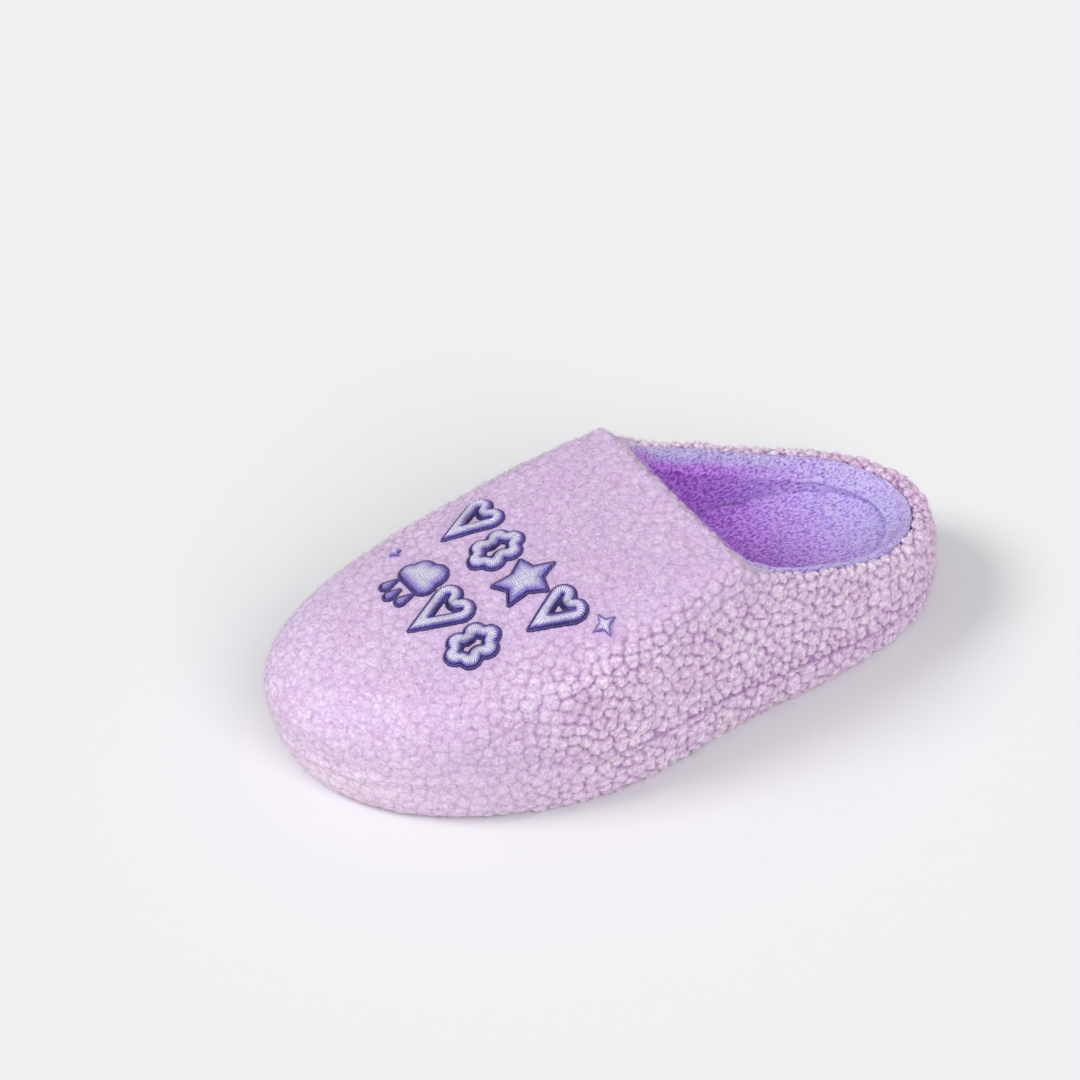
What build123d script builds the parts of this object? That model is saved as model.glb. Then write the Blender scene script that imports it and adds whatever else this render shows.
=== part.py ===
"""Closed-toe fleece house slipper, left foot: sole unit, footbed, padded upper and embroidery.

Frame while modelling: +X to the toe, +Y to the wearer's left, +Z up, floor at z = 0, millimetres.
The finished set is moved so that the origin is the bottom centre of its bounding box.

Every layer comes from one form, a stack of plan outlines. A layer DEPTH inside the pile is that
form lowered by DEPTH and drawn in by DEPTH, so that layers nest without touching one another's volume.
"""
from build123d import *
import math
import os

# ---- Driving dimensions ------------------------------------------------------------------------
LENGTH = 280.0              # heel to toe at the level of the foot, outside the pile
HEEL_HALF_WIDTH = 48.0
WAIST_HALF_WIDTH = 52.0
BALL_HALF_WIDTH = 62.7
TOE_HALF_WIDTH = 61.5
TOE_SHIFT = -13.1           # how far the toe tip lies towards the big toe
NOSE_POWER = 3.35           # 2 is an ellipse; more is squarer
HEEL_POWER = 4.6

FLEECE_DEPTH = 7.0          # outer fleece of upper and band: pile and backing cloth
POCKET_DEPTH = 8.4          # bottom of the 1 mm space for counter, stabiliser and seam thread
FOAM_DEPTH = 10.0
LINING_DEPTH = 13.0
BOARD_DEPTH = 8.6
OUTSOLE_DEPTH = 8.0

OUTSOLE_TOP = 3.0
MIDSOLE_TOP = 17.0
BOARD_TOP = 18.5
FOOTBED_SIDE = 36.0         # above the highest edge of the footbed cover
DISH_FLOOR = 24.5           # lowest height of the footbed foam's dished top
COVER_THICKNESS = 3.0
BAND_BOTTOM = 0.8
SEAM_GAP = 1.0              # space that a row of seam stitches takes between two edges
RIM_WRAP = 4.0              # how far the lining covers the foam's top edge

COUNTER_FRONT = -72.0
COUNTER_TOP = 38.0
BAND_JOINT_X = -33.0        # where the ends of the band meet, on the outer side of the foot

TREAD_DEPTH = 1.2
TREAD_BAR = (13.0, 3.4)     # length and width of one tread recess
TREAD_PITCH = (9.5, 18.0)
TREAD_MARGIN = 9.0

THREAD_RADIUS = 0.35
STITCH_LENGTH = 2.6
STITCH_PITCH = 5.0

FILL_HEIGHT = 2.2           # satin fill above the pile
BORDER_HEIGHT = 1.2         # dark border above the pile
BORDER_WIDTH = 1.1
STROKE_WIDTH = 3.9          # one run of satin stitches in the open shapes

# ---- The form: (position, value) stations, joined smoothly ------------------------------------------
NOSE_REACH = [(0, 131.0), (8, 137.2), (22, 141.0), (35, 144.0), (45, 139.3), (55, 123.2),
              (65, 81.5), (75, 45.5), (85, -9.0), (100, -54.0)]
HEEL_REACH = [(0, -136.0), (6, -138.8), (22, -140.0), (40, -135.5), (55, -130.5), (100, -126.0)]
SIDE_TAPER = [(0, 0.93), (5, 0.975), (12, 1.0), (35, 1.0), (55, 0.98), (85, 0.955), (100, 0.86)]
HALF_WIDTH = [(-145, HEEL_HALF_WIDTH - 2), (-95, HEEL_HALF_WIDTH), (-30, WAIST_HALF_WIDTH),
              (45, BALL_HALF_WIDTH), (95, TOE_HALF_WIDTH), (145, TOE_HALF_WIDTH - 3)]
TOPLINE = [(-175, 37.0), (-140, 38.5), (-97, 45.0), (-62, 57.0), (-30, 71.5), (-12, 92.0), (8, 144.0)]
BAND_TOP = [(-140, 14.0), (-90, 15.5), (-35, 19.5), (15, 23.0), (80, 23.0), (145, 20.0)]
FORM_LEVELS = [0, 4, 10, 18, 28, 38, 46, 53, 60, 67, 74, 81, 90, 100]
RING_POINTS = 32


def smooth(stations, x):
    """Monotone cubic through the stations, held flat beyond both ends."""
    xs = [s[0] for s in stations]
    ys = [s[1] for s in stations]
    if x <= xs[0]:
        return ys[0]
    if x >= xs[-1]:
        return ys[-1]
    gaps = [b - a for a, b in zip(xs, xs[1:])]
    slopes = [(b - a) / g for a, b, g in zip(ys, ys[1:], gaps)]
    rates = [slopes[0]]
    for left, right in zip(slopes, slopes[1:]):
        rates.append(0.0 if left * right <= 0 else 2 * left * right / (left + right))
    rates.append(slopes[-1])
    i = max(k for k in range(len(gaps)) if xs[k] <= x)
    t = (x - xs[i]) / gaps[i]
    start = (1 + 2 * t) * (1 - t) ** 2 * ys[i] + t * (1 - t) ** 2 * gaps[i] * rates[i]
    end = t * t * (3 - 2 * t) * ys[i + 1] + t * t * (t - 1) * gaps[i] * rates[i + 1]
    return start + end


def skin_point(turn, level, depth=0.0, shape_level=None):
    """Point of the layer at `depth` and height `level`; turn 0 is the toe, pi the heel."""
    shape = level + depth if shape_level is None else shape_level
    shape = min(max(shape, FORM_LEVELS[0]), FORM_LEVELS[-1])
    front = smooth(NOSE_REACH, shape) - depth
    back = smooth(HEEL_REACH, shape) + depth
    along, across = math.cos(turn), math.sin(turn)
    power = NOSE_POWER if along > 0 else HEEL_POWER
    x = (front + back) / 2 + (front - back) / 2 * along
    fullness = math.copysign(math.sqrt(max(0.0, 1 - abs(along) ** power)), across)
    half_width = smooth(HALF_WIDTH, x) * smooth(SIDE_TAPER, shape) - depth
    shift = TOE_SHIFT * min(max(2 * x / LENGTH, 0.0), 1.0) ** 2
    return Vector(x, shift + half_width * fullness, level)


def ring(level, depth, shape_level=None):
    """Closed smooth wire round the layer at one height."""
    turns = [2 * math.pi * k / RING_POINTS for k in range(RING_POINTS)]
    return Wire([Spline(*[skin_point(t, level, depth, shape_level) for t in turns], periodic=True)])


def form(depth, low, high):
    """Solid inside the layer at `depth`, between two heights."""
    inner = [s - depth for s in FORM_LEVELS if low + 1.5 < s - depth < high - 1.5]
    return Solid.make_loft([ring(level, depth) for level in [low] + inner + [high]])


def straight_form(depth, low, high):
    """Upright block with the plan outline of the sole unit, drawn in by `depth`."""
    return Solid.make_loft([ring(low, depth, MIDSOLE_TOP), ring(high, depth, MIDSOLE_TOP)])


def slab(low, high):
    """Everything between two heights."""
    size = 2 * LENGTH
    return Pos(0, 0, (low + high) / 2) * Box(size, size, high - low)


def region_above(stations, drop=0.0, forward=0.0):
    """Everything above a side-view line, which may be lowered and moved forward."""
    first, last = stations[0][0], stations[-1][0]
    steps = 36
    xs = [first + (last - first) * k / steps for k in range(steps + 1)]
    line = [(x + forward, smooth(stations, x) - drop) for x in xs]
    roof = 2 * LENGTH
    edge = Spline(*[Vector(x, 0, z) for x, z in line])
    frame = Polyline(edge @ 1, (last + forward + LENGTH, 0, line[-1][1]), (last + forward + LENGTH, 0, roof),
                     (first + forward - LENGTH, 0, roof), (first + forward - LENGTH, 0, line[0][1]), edge @ 0)
    face = Face(Wire([edge, *frame.edges()]))
    return Solid.extrude(face, Vector(0, 2 * LENGTH, 0)).moved(Pos(0, -LENGTH, 0))


def above_opening(drop=0.0, forward=0.0):
    """Everything above the opening's edge, seen from the side."""
    return region_above(TOPLINE, drop, forward)


def above_band(drop=0.0):
    """Everything above the seam between band and upper."""
    return region_above(BAND_TOP, drop)


# ---- Sole unit -----------------------------------------------------------------------------------
def tread_recesses():
    """Staggered rows of round-ended bars, kept inside the outsole's border."""
    length, width = TREAD_BAR
    border = OUTSOLE_DEPTH + TREAD_MARGIN
    bar = extrude(SlotOverall(length, width, rotation=90), 2 * TREAD_DEPTH)
    bars = []
    pitch_x, pitch_y = TREAD_PITCH
    rows = int(LENGTH / pitch_x)
    for i in range(rows + 1):
        x = -LENGTH / 2 + pitch_x * (i + 0.5)
        if not -LENGTH / 2 + border < x < smooth(NOSE_REACH, MIDSOLE_TOP) - border:
            continue
        power = NOSE_POWER if x > 0 else HEEL_POWER
        fullness = math.sqrt(1 - abs(2 * x / LENGTH) ** power)
        reach = (smooth(HALF_WIDTH, x) - OUTSOLE_DEPTH) * fullness - TREAD_MARGIN - length / 2
        middle = TOE_SHIFT * max(2 * x / LENGTH, 0.0) ** 2
        offset_y = pitch_y / 2 * (i % 2)
        count = int(2 * LENGTH / pitch_y)
        for j in range(-count, count + 1):
            y = j * pitch_y + offset_y
            if abs(y) < reach:
                bars.append(bar.moved(Pos(x, middle + y, -TREAD_DEPTH)))
    return bars


def make_outsole():
    """Moulded rubber tread with a flat, recessed underside."""
    return straight_form(OUTSOLE_DEPTH, 0, OUTSOLE_TOP) - tread_recesses()


def make_band(skin, inside):
    """Fleece strip round the sole unit, its two ends butted on the outer side."""
    strip = (skin & slab(BAND_BOTTOM, FOOTBED_SIDE)) - inside - above_band(SEAM_GAP / 2)
    slit = Pos(BAND_JOINT_X, WAIST_HALF_WIDTH, 0) * Box(SEAM_GAP, 3 * FLEECE_DEPTH, LENGTH)
    return strip - slit


# ---- Footbed -------------------------------------------------------------------------------------
def dish(lift):
    """Hollow of the footbed: flat in the middle and rising softly to the lining."""
    steps = [(0.0, 46.0), (0.5, 37.0), (1.7, 27.0), (3.4, 19.5), (5.4, 14.0), (8.0, 9.0), (13.0, 4.0)]
    base = DISH_FLOOR + lift
    return Solid.make_loft([ring(base + rise, inset, MIDSOLE_TOP) for rise, inset in steps], ruled=True)


def make_footbed(cavity):
    """Foam block with a dished top, and the fleece sock over it."""
    block = cavity & slab(BOARD_TOP, FOOTBED_SIDE)
    foam = block - dish(0.0)
    cover = (block & dish(0.0)) - dish(COVER_THICKNESS)
    return foam, cover


# ---- Upper ---------------------------------------------------------------------------------------
def heel_slit():
    """Gap of a centre-back seam."""
    return Pos(-LENGTH / 2, 0, 0) * Box(2 * LINING_DEPTH + 12, SEAM_GAP, LENGTH)


def make_shell(skin, inside):
    """Outer fleece from the band's seam to the opening, one piece closed by a seam at the heel."""
    return skin - above_opening() - inside & above_band(-SEAM_GAP / 2)


def make_counter(pocket):
    """Stiff fibreboard cup round the heel."""
    length = 2 * LENGTH
    room = Pos(COUNTER_FRONT - length / 2, 0, (BOARD_TOP + COUNTER_TOP) / 2)
    cup = pocket & (room * Box(length, length, COUNTER_TOP - BOARD_TOP))
    return cup - above_opening(RIM_WRAP + 2, RIM_WRAP)


# ---- Embroidery: flat shapes, drawn with u to the wearer's left and v to the heel ------------------
def tangent_point(centre, radius, apex, side):
    """Where a line from the apex touches a circle, on the given side."""
    reach = Vector(*apex) - Vector(*centre)
    turn = side * math.degrees(math.acos(radius / reach.length))
    touch = Vector(*centre) + reach.normalized().rotate(Axis.Z, turn) * radius
    return (touch.X, touch.Y)


def heart(size):
    """Tall heart: two round lobes over a point."""
    lobe = 0.27 * size
    left, right = (-0.25 * size, 0.36 * size), (0.25 * size, 0.36 * size)
    tip = (0.0, -0.68 * size)
    body = Polygon(tip, tangent_point(right, lobe, tip, 1), right, left, tangent_point(left, lobe, tip, -1),
                   align=None)
    return body + Pos(*left) * Circle(lobe) + Pos(*right) * Circle(lobe)


def flower(size):
    """Six round petals on a tall oval."""
    shape = Rectangle(0.5 * size, 0.62 * size)
    for k in range(6):
        turn = math.pi * (k + 0.5) / 3
        place = Pos(0.30 * size * math.cos(turn), 0.42 * size * math.sin(turn))
        shape += place * Circle(0.22 * size)
    return shape


def drop(size):
    """Tall rain drop, its point to the heel."""
    radius = 0.5 * size
    middle, tip = (0.0, -0.35 * size), (0.0, 1.0 * size)
    touches = [tangent_point(middle, radius, tip, side) for side in (1, -1)]
    point = Polygon(tip, touches[0], middle, touches[1], align=None)
    return point + Pos(*middle) * Circle(radius)


def star(size, tips=5, waist=0.55, height=1.25):
    """Star with straight sides."""
    corners = []
    for k in range(2 * tips):
        radius = size * (0.56 if k % 2 == 0 else 0.56 * waist)
        turn = math.pi / 2 + math.pi * k / tips
        corners.append((radius * math.cos(turn), height * radius * math.sin(turn)))
    return Polygon(*corners, align=None)


def cloud(size):
    """Three puffs on a flat base."""
    base = Pos(0, 0.06 * size) * SlotOverall(1.08 * size, 0.46 * size)
    left = Pos(-0.18 * size, 0.30 * size) * Circle(0.25 * size)
    right = Pos(0.16 * size, 0.36 * size) * Circle(0.31 * size)
    return base + left + right


def rain_cloud(size):
    """Cloud over three drops."""
    shape = cloud(size)
    for column, fall in ((-0.33, -0.50), (0.0, -0.60), (0.33, -0.50)):
        shape += Pos(column * size, fall * size) * drop(0.20 * size)
    return shape


def sparkle(size):
    """Small four-pointed twinkle."""
    return star(size, 4, 0.42, 1.0)


def stroke(shape):
    """A shape left open in the middle, as wide as one run of satin stitches."""
    return shape - offset(shape, -STROKE_WIDTH)


# name, shape, open middle, size, and place (x, y): a row towards the opening, then a row to the toe
MOTIFS = [
    ("heart", heart, True, 17.5, (49.0, -32.5)),
    ("flower", flower, True, 17.5, (50.0, -11.5)),
    ("star", star, False, 18.0, (50.0, 9.5)),
    ("small_heart", heart, True, 16.5, (49.0, 29.5)),
    ("rain_cloud", rain_cloud, False, 17.0, (80.0, -20.5)),
    ("tall_heart", heart, True, 18.5, (82.0, 0.5)),
    ("small_flower", flower, True, 17.0, (80.0, 22.0)),
]
SPARKLES = [("side_sparkle", 9.0, (37.0, 45.0)), ("corner_sparkle", 5.0, (77.0, -41.0))]
FIELD_SIZE = (104.0, 80.0)      # across and along the foot
FIELD_PLACE = (63.0, 0.0)


def placed_prism(sketch, place):
    """Upright prism over the vamp; the shape's v axis points to the heel."""
    plane = Plane(origin=(place[0], place[1], 0), x_dir=(0, 1, 0), z_dir=(0, 0, 1))
    return extrude(plane * sketch, LENGTH / 2)


def make_motifs(skin):
    """Satin fill of each motif and its dark border, each lying on the vamp."""
    field = embroidery_field()
    fill_sheath = (form(-FILL_HEIGHT, FOOTBED_SIDE, 98) & field) - skin
    border_sheath = (form(-BORDER_HEIGHT, FOOTBED_SIDE, 98) & field) - skin
    pieces = {}
    for name, shape, opened, size, place in MOTIFS:
        flat = stroke(shape(size)) if opened else shape(size)
        rim = offset(flat, BORDER_WIDTH) - flat
        pieces["satin_" + name] = fill_sheath & placed_prism(flat, place)
        pieces["border_" + name] = border_sheath & placed_prism(rim, place)
    for name, size, place in SPARKLES:
        pieces["satin_" + name] = border_sheath & placed_prism(sparkle(size), place)
    return pieces


def embroidery_field():
    """Upright block with rounded corners that holds all the embroidery."""
    return placed_prism(RectangleRounded(*FIELD_SIZE, 10), FIELD_PLACE)


# ---- Seams ---------------------------------------------------------------------------------------
def stitch_row(path, start, stop, pitch=STITCH_PITCH):
    """Short straight stitches, evenly spaced along path(turn)."""
    steps = 900
    points = [path(start + (stop - start) * k / steps) for k in range(steps + 1)]
    travelled = 0.0
    due = pitch / 2
    stitches = []
    for before, after in zip(points, points[1:]):
        travelled += (after - before).length
        if travelled >= due:
            along = (after - before).normalized()
            foot = before - along * (STITCH_LENGTH / 2)
            stitches.append(Solid.make_cylinder(THREAD_RADIUS, STITCH_LENGTH, Plane(foot, z_dir=along)))
            due += pitch
    return Compound(children=stitches)


def band_seam(turn):
    """Path between the band's top edge and the upper."""
    x = skin_point(turn, MIDSOLE_TOP, 3.0).X
    return skin_point(turn, smooth(BAND_TOP, x), 3.0, MIDSOLE_TOP)


def board_seam(turn):
    """Path between the upper's margin and the board's edge."""
    middle = (MIDSOLE_TOP + BOARD_TOP) / 2
    return skin_point(turn, middle, (FLEECE_DEPTH + BOARD_DEPTH) / 2)


def opening_seam(turn):
    """Path just under the opening's edge, between shell and lining."""
    depth = (FLEECE_DEPTH + POCKET_DEPTH) / 2
    low, high = FOOTBED_SIDE, 92.0
    for _ in range(24):
        level = (low + high) / 2
        if level > smooth(TOPLINE, skin_point(turn, level, depth).X) - RIM_WRAP / 2:
            high = level
        else:
            low = level
    return skin_point(turn, low, depth)


def heel_seam(level):
    """Path up the centre-back seam of the shell."""
    return skin_point(math.pi, level, FLEECE_DEPTH / 2)


def band_joint(level):
    """Path up the butt joint of the band's ends."""
    return Vector(BAND_JOINT_X, smooth(HALF_WIDTH, BAND_JOINT_X) - FLEECE_DEPTH / 2, level)


def make_seams():
    """One row of thread for each seam that holds the slipper together."""
    full = 2 * math.pi
    heel_top = smooth(TOPLINE, -LENGTH / 2)
    return {
        "band_seam_thread": stitch_row(band_seam, 0, full),
        "board_seam_thread": stitch_row(board_seam, 0, full),
        "opening_seam_thread": stitch_row(opening_seam, 0, full),
        "heel_seam_thread": stitch_row(heel_seam, BAND_TOP[0][1] + 1, heel_top - 1, 4.0),
        "band_joint_thread": stitch_row(band_joint, BAND_BOTTOM + 1, 19.0, 4.0),
    }


# ---- Assembly ------------------------------------------------------------------------------------
def build():
    """All pieces by name, in the modelling frame."""
    skin = form(0.0, 0, 100)
    inside = form(FLEECE_DEPTH, -2, 93)
    pocket_floor = form(POCKET_DEPTH, 8, 92)
    foam_floor = form(FOAM_DEPTH, 10, 90)
    cavity = form(LINING_DEPTH, 12, 87)
    above_board = slab(BOARD_TOP, LENGTH)

    shell = make_shell(skin, inside) - heel_slit()
    pocket = (inside - pocket_floor) & above_board
    counter = make_counter(pocket)
    stabiliser = pocket & embroidery_field()
    foam_room = (inside - foam_floor) & above_board
    foam = foam_room - above_opening(RIM_WRAP, RIM_WRAP) - counter - stabiliser
    lining_room = (pocket_floor - cavity) & above_board
    lining = lining_room - foam_room - above_opening() - heel_slit()
    rim_cap = ((pocket_floor - foam_floor) & above_opening(RIM_WRAP, RIM_WRAP)) - above_opening()
    footbed_foam, footbed_cover = make_footbed(cavity)

    pieces = {
        "outsole": make_outsole(),
        "midsole": inside & slab(OUTSOLE_TOP, MIDSOLE_TOP),
        "foxing_band": make_band(skin, inside),
        "insole_board": straight_form(BOARD_DEPTH, MIDSOLE_TOP, BOARD_TOP),
        "footbed_foam": footbed_foam,
        "footbed_cover": footbed_cover,
        "upper_shell": shell,
        "upper_foam": foam,
        "upper_lining": (lining + rim_cap) - heel_slit(),
        "heel_counter": counter,
        "embroidery_stabiliser": stabiliser,
    }
    pieces.update(make_motifs(skin))
    pieces.update(make_seams())
    return pieces


def main():
    """Centres the finished set over the origin and writes one file per piece."""
    pieces = build()
    box = Compound(children=[Compound(children=list(p.solids())) for p in pieces.values()]).bounding_box()
    shift = Pos(-box.center().X, -box.center().Y, -box.min.Z)
    os.makedirs("parts", exist_ok=True)
    for name, piece in pieces.items():
        solids = [s.moved(shift) for s in piece.solids()]
        whole = solids[0] if len(solids) == 1 else Compound(children=solids)
        export_step(whole, "parts/" + name + ".step")
    print("size", box.size, "moved by", shift.position)


main()
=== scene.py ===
"""Looks of the fleece house slipper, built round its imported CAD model. Metres, same frame as the CAD."""
import itertools
import math

import bpy
import numpy as np
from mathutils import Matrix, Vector, kdtree
from mathutils.bvhtree import BVHTree


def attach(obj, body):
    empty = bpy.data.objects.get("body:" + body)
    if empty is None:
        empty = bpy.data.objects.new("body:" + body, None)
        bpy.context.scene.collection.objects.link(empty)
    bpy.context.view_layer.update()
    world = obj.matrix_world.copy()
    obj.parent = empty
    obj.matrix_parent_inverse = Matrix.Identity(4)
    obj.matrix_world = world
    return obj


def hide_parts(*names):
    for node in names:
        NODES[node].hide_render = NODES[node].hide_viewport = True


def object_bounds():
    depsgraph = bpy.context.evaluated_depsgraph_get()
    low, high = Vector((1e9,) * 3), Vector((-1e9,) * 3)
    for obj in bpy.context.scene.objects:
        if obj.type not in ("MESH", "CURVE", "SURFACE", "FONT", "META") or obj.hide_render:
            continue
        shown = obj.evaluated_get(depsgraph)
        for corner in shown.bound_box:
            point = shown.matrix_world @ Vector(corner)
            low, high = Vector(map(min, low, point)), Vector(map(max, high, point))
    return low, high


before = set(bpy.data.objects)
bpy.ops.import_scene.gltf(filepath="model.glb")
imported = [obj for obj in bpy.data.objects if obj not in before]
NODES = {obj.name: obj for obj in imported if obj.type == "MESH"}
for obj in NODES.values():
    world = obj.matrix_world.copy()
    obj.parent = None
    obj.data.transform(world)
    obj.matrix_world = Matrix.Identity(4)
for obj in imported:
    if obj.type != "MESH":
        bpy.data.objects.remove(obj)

CAD_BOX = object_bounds()
MM = 0.001

# ---- Camera: the photograph's viewpoint ------------------------------------------------------------
CAMERA_AZIMUTH = 147.3          # 0 looks along +Y
CAMERA_ELEVATION = 40.6
CAMERA_DISTANCE = 1.6
LENS = 136.5
SENSOR = 36.0
AIM_POINT = (-0.0019, 0.0012, 0.0)          # the point that the framing offsets are measured from
AIM_RIGHT = 0.078               # how far right of the picture's middle that point falls, in widths
AIM_DOWN = 0.1216

# ---- Fleece ----------------------------------------------------------------------------------------
FLEECE_VOXEL = 0.84 * MM
FLEECE_ROUNDING = 4             # smoothing passes over sharp edges
TUFT_SPACING = 4.3 * MM
CURL_SPACING = 2.1 * MM         # the smaller curls on each tuft
TUFT_HEIGHT = 1.7 * MM
SPACING_VARIETY = (0.78, 1.12)  # least and greatest share of the spacing between two tufts
WARP = 0.17                     # how far creases wander, in spacings
FINE_WARP = 0.07
CORNER_REACH = (0.6 * MM, 1.8 * MM)
CREASE_SHALLOWEST = 0.16        # depth of the shallowest crease, of 1
CREASE_VARIETY = 0.64           # how much deeper other creases may be
CORNER_DEPTH = 0.6              # added where three tufts meet
BRUSHED_SHARE = 0.70            # how much of the curl is brushed out at the toe
DOME_REACH = 2.0 * MM           # from a crease to where a tuft is at its full height
CREASE_REACH = 0.9 * MM         # from a crease to where its painted shade ends
HIDDEN_SHARE = 0.10             # triangles kept on the side that faces the foam
HIDDEN_REACH = 1.9 * MM         # the shell's side within this distance of the foam is hidden
BROAD_SCALE = 7.0 * MM          # size of the pile's broad swellings
BROAD_SWELL = 0.25 * MM
HELD_LIFT = 0.45 * MM           # the flattened pile beside the embroidery
RIM_SWELL = 1.1 * MM            # the pile's extra height where shell meets lining
HOLD_REACH = (0.4 * MM, 4.0 * MM)           # from the embroidery, held pile to free pile
UPPER_OUTSIDE = (0.8 * MM, 3.6 * MM)        # from the foam, inner side to outer side
BAND_OUTSIDE = (0.8 * MM, 3.0 * MM)         # from the midsole, likewise
SEAM_REACH = (0.9 * MM, 3.2 * MM)           # from the neighbouring piece, seam to free pile
RIM_REACH = (1.2 * MM, 4.5 * MM)            # from the lining, rim to free pile
SMALL_CREASE_REACH = 0.5 * MM
PILE_CLEARANCE = 0.3 * MM       # the pile's lowest place above the floor
FIBRE_CLEARANCE = 0.02 * MM
UPPER_SEED = 11
BAND_SEED = 23

# ---- Where the pile is brushed: x and z in mm, noises as size and seed -----------------------------
LEVEL_SLOPE = (0.55, 0.98)      # upward part of the surface's direction, sloping to level
LEVEL_NOISE = (14 * MM, 40)
VAMP_HEIGHTS = (54, 76)         # z
VAMP_BACK = (-52, -30)          # x
TOE_BRUSHED = (34, 104)         # x
TOE_NOISE = (20 * MM, 42)
TOE_RANGE = (20, 80)            # x, where seams close up towards the toe
EMBROIDERED = (5, 115)          # x of the stretch that holds the embroidery
EMBROIDERY_FLOOR = 45           # z below which there is none

# ---- Lining and rim --------------------------------------------------------------------------------
LINING_VOXEL = 1.1 * MM
LINING_ROUNDING = 14
FOOTBED_ROUNDING = 5
LINING_SEED = 61
FOOTBED_SEED = 71
RIM_ROUNDING = 14               # smoothing passes on the shell's rim
RIM_WIDTH = 5 * MM              # the shell's rim is what lies this close to the lining
RIM_DEPTH = 10 * MM             # the fold fades out this far below the edge
RIM_ENDS = (-44, -26)           # x in mm, where the fold fades out towards the throat
RIM_FOLD = 3.4 * MM             # how far the lining's fold pulls the rim outward
RIM_SEAM = 1.0 * MM             # how much further the lining goes than the shell, closing the seam
RIM_SINK = 5.5 * MM             # how far the rim's inner side lies below its outer edge
FOLD_FADE = (1.4 * MM, 8.4 * MM)            # from the other layer, full pull to none
SINK_REACH = (1.4 * MM, 6.2 * MM)           # from the other layer, no sinking to all of it
LINING_RIM = (0.5 * MM, 5.5 * MM)           # from the shell, rim pile to short pile
RIM_HEIGHTS = (36, 44)          # z in mm, above which the lining has a rim
RIM_HEEL = (-80, -50)           # x in mm, where the rim runs right across
RIM_SIDES = (32, 40)            # sideways in mm, where it runs along the sides
JOIN_REACH = (1 * MM, 4 * MM)   # from footbed to lining
JOIN_END = (-96, -76)           # x in mm
HUE_AND_LIGHT_END = (-126, -46)          # x in mm, from periwinkle to violet, a real hue shift with painted shade under the vamp
FINE_PILE = (1.9 * MM, 0.30)    # size, and height in mm
BROAD_PILE = (6.0 * MM, 0.20)
RIM_PILE = 1.2                  # heights in mm
JOIN_PILE = 0.9
EDGE_STEP = 4 * MM              # spacing of the places where the edge's height is taken
THROAT_BACK = -20 * MM          # the opening's side edges end here
HEEL_CENTRE = -95 * MM          # x of the middle of the heel's curve

# ---- Loose fibres: counts and seeds by piece, shapes as length, width and lean ---------------------
FIBRE_COUNTS = {"upper_fleece": 48000, "band_fleece": 16000, "lining_fleece": 40000, "footbed_fleece": 36000}
FIBRE_SEEDS = {"upper_fleece": 101, "band_fleece": 102, "lining_fleece": 103, "footbed_fleece": 104}
OUTER_FIBRE = (1.9 * MM, 0.16 * MM, 1.1)
LINING_FIBRE = (1.2 * MM, 0.2 * MM, 0.8)
FIBRE_FLOW = 6 * MM             # neighbouring fibres lean alike over about this distance
FIBRE_SIDES = 3

# ---- Embroidery: stitch shapes as the edge's share of the motif's height, and the crest's height ---
STITCH_VOXEL = 0.28 * MM
STITCH_ROUNDING = 2
SATIN_SHAPE = (0.45, 2.6 * MM)
BORDER_SHAPE = (0.5, 1.3 * MM)
WALL_HEIGHTS = (0.25, 0.75)     # shares of the motif's height between which its side walls lie
FLAT_TOP = 97                   # percentile of the heights that is taken as the flat top
WIDEST = 99                     # percentile of the insets that is taken as half a stroke's width

# ---- Colours, linear -------------------------------------------------------------------------------
LILAC = (0.69, 0.52, 0.79)
LILAC_GREY = (0.83, 0.68, 0.83)
# Pale tufts: their own tone, and painted light on their tops.
LILAC_PALE = (0.93, 0.84, 0.94)
LILAC_SHADE = (0.50, 0.34, 0.56)
# Painted plum shade for the creases between tufts.
LILAC_CREASE_SHADE = (0.32, 0.12, 0.38)
ROSE = (0.70, 0.38, 0.66)
# Periwinkle: the lining's own hue at heel and rim, with painted light there.
PERIWINKLE = (0.57, 0.51, 0.81)
# Painted shade between the lining's tufts, towards heel and rim.
PERIWINKLE_CREVICE_SHADE = (0.28, 0.14, 0.60)
# Violet: the lining's own hue under the vamp, with painted shade there.
VIOLET = (0.60, 0.25, 0.86)
# Painted shade between the lining's tufts, under the vamp.
VIOLET_CREVICE_SHADE = (0.26, 0.04, 0.50)
# Painted highlight along the satin strokes' crests.
SATIN_HIGHLIGHT = (0.92, 0.89, 1.00)
SATIN = (0.37, 0.30, 0.72)
# Painted shade at the satin strokes' feet and in the grooves between threads.
SATIN_SHADE = (0.13, 0.08, 0.42)
INDIGO = (0.020, 0.010, 0.100)
# Painted highlight along the border's crest.
INDIGO_HIGHLIGHT = (0.09, 0.055, 0.30)

# ---- Fleece materials: ranges as from, to, share from, share to ------------------------------------
WOOL = {
    "Roughness": 0.95,
    "Specular IOR Level": 0.12,
    "Sheen Weight": 0.45,
    "Sheen Roughness": 0.5,
    "Sheen Tint": (0.95, 0.89, 1.0, 1.0),
}
WOOL_BUMP = 0.8
FLECK_NOISE = (0.32, 0.68)
LILAC_FLECKS = (1000.0, 0.84, 1.10)         # scale, darkest and lightest
VIOLET_FLECKS = (1900.0, 0.90, 1.08)
THREAD_FLECKS = (1300.0, 0.72, 1.18)
LILAC_RELIEF = (1500.0, 0.4 * MM)           # scale and height
VIOLET_RELIEF = (880.0, 0.8 * MM)
FOOT_HEIGHTS = (16 * MM, 46 * MM)           # z, below which brushed pile keeps the curled pile's colour
TONE_RANGE = (0.42, 0.95, 0.0, 0.65)
PATCH_SCALE = 80.0
PATCH_RANGE = (0.45, 0.72, 0.0, 0.26)
VAMP_SHADE = (125 * MM, 75 * MM, 0.0, 0.45) # by x
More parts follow.
